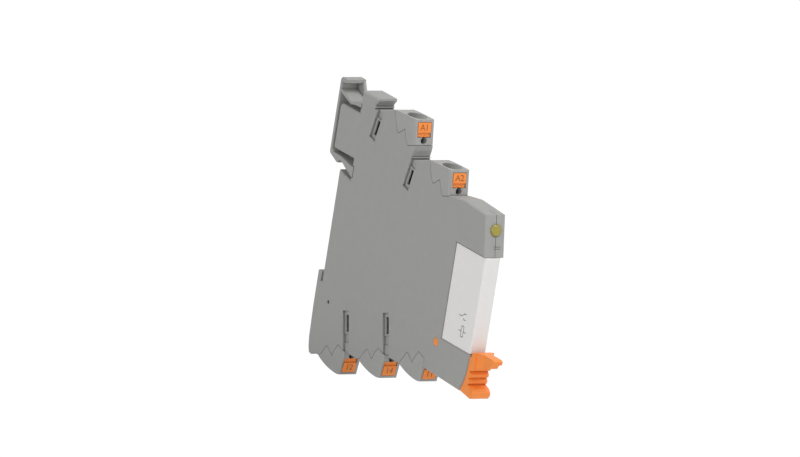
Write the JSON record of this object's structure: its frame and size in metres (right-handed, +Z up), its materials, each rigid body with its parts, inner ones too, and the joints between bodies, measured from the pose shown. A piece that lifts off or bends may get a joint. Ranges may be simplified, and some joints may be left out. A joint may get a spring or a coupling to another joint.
{
  "type": "relay module",
  "caption": "Slim grey relay module for a mounting rail, with a plug-in relay, orange push buttons, conductor entries and an orange retaining lever.",
  "frame": {"origin": "middle of the 35 mm rail seat, on the rear face that rests on the rail, half way across the module", "axes": "+Y towards the rail, -Y towards the front, +Z up to the coil terminals, +X towards the right side"},
  "size_m": [0.0062, 0.0953, 0.0805],
  "materials": {
    "grey_polyamide": "moulded, fine matt",
    "grey_polyamide_insert": "moulded, fine matt",
    "orange_polyamide": "moulded, satin",
    "spring_steel": "rolled strip",
    "tinned_copper": "tinned",
    "spring_bronze": "rolled strip",
    "board_laminate": "solder mask",
    "black_epoxy": "moulded",
    "resistor_ceramic": "glazed",
    "led_body": "clear epoxy",
    "yellow_lens": "tinted, translucent",
    "white_case": "moulded, satin",
    "relay_base_plastic": "moulded",
    "bobbin_plastic": "moulded",
    "copper_winding": "enamelled wire",
    "soft_iron": "nickel plated",
    "contact_alloy": "silver faced bronze"
  },
  "bodies": {
    "module": {"base_housing": "grey_polyamide", "side_cover": "grey_polyamide", "terminal_insert_a1": "grey_polyamide_insert", "clamp_spring_a1": "spring_steel", "current_bar_a1": "tinned_copper", "terminal_insert_a2": "grey_polyamide_insert", "clamp_spring_a2": "spring_steel", "current_bar_a2": "tinned_copper", "terminal_insert_12": "grey_polyamide_insert", "clamp_spring_12": "spring_steel", "current_bar_12": "tinned_copper", "terminal_insert_14": "grey_polyamide_insert", "clamp_spring_14": "spring_steel", "current_bar_14": "tinned_copper", "terminal_insert_11": "grey_polyamide_insert", "clamp_spring_11": "spring_steel", "current_bar_11": "tinned_copper", "socket_contact_1": "spring_bronze", "socket_contact_2": "spring_bronze", "socket_contact_3": "spring_bronze", "socket_contact_4": "spring_bronze", "socket_contact_5": "spring_bronze", "circuit_board": "board_laminate", "bridge_rectifier": "black_epoxy", "series_resistors": "resistor_ceramic", "suppressor_diode": "black_epoxy", "status_led": "led_body", "status_lens": "yellow_lens"},
    "plug_in_relay": {"relay_case": "white_case", "relay_base": "relay_base_plastic", "relay_bobbin": "bobbin_plastic", "relay_coil": "copper_winding", "relay_core": "soft_iron", "relay_yoke": "soft_iron", "relay_coil_pins": "tinned_copper", "relay_make_contact": "contact_alloy", "relay_break_contact": "contact_alloy", "relay_common_pin": "tinned_copper"},
    "armature": {"relay_armature": "soft_iron"},
    "contact_spring": {"relay_moving_contact": "contact_alloy"},
    "lever": {"retaining_lever": "orange_polyamide"},
    "button_a1": {"push_button_a1": "orange_polyamide"},
    "button_a2": {"push_button_a2": "orange_polyamide"},
    "button_12": {"push_button_12": "orange_polyamide"},
    "button_14": {"push_button_14": "orange_polyamide"},
    "button_11": {"push_button_11": "orange_polyamide"}
  },
  "joints": [
    {"name": "button_a1_press", "type": "slide", "parent": "module", "child": "button_a1", "axis": [0, 0.9848, -0.1736], "range_m": [0, 0.001], "stiffness_N_per_m": 2000, "springref_m": -0.0005},
    {"name": "button_a2_press", "type": "slide", "parent": "module", "child": "button_a2", "axis": [0, 0.9848, -0.1736], "range_m": [0, 0.001], "stiffness_N_per_m": 2000, "springref_m": -0.0005},
    {"name": "button_12_press", "type": "slide", "parent": "module", "child": "button_12", "axis": [0, 0.9848, 0.1736], "range_m": [0, 0.001], "stiffness_N_per_m": 2000, "springref_m": -0.0005},
    {"name": "button_14_press", "type": "slide", "parent": "module", "child": "button_14", "axis": [0, 0.9848, 0.1736], "range_m": [0, 0.001], "stiffness_N_per_m": 2000, "springref_m": -0.0005},
    {"name": "button_11_press", "type": "slide", "parent": "module", "child": "button_11", "axis": [0, 0.9848, 0.1736], "range_m": [0, 0.001], "stiffness_N_per_m": 2000, "springref_m": -0.0005},
    {"name": "relay_slide", "type": "slide", "parent": "module", "child": "plug_in_relay", "axis": [0, -1, 0], "range_m": [0, 0.018]},
    {"name": "lever_swing", "type": "hinge", "parent": "module", "child": "lever", "pos_m": [0, -0.06147, -0.016], "axis": [1, 0, 0], "range_deg": [0, 46]},
    {"name": "armature_rock", "type": "hinge", "parent": "plug_in_relay", "child": "armature", "pos_m": [-0.00035, -0.07715, -0.00153], "axis": [1, 0, 0], "range_deg": [0, 2], "stiffness_Nm_per_rad": 0.02, "springref_deg": -2.86},
    {"name": "contact_spring_flex", "type": "hinge", "parent": "plug_in_relay", "child": "contact_spring", "pos_m": [-0.00035, -0.06595, -0.00707], "axis": [-1, 0, 0], "range_deg": [0, 2.5], "stiffness_Nm_per_rad": 0.02}
  ],
  "couplings": [
    {"joint": "lever_swing", "follows": "relay_slide", "rad_per_m": 38.8},
    {"joint": "contact_spring_flex", "follows": "armature_rock", "ratio": 1.2}
  ]
}
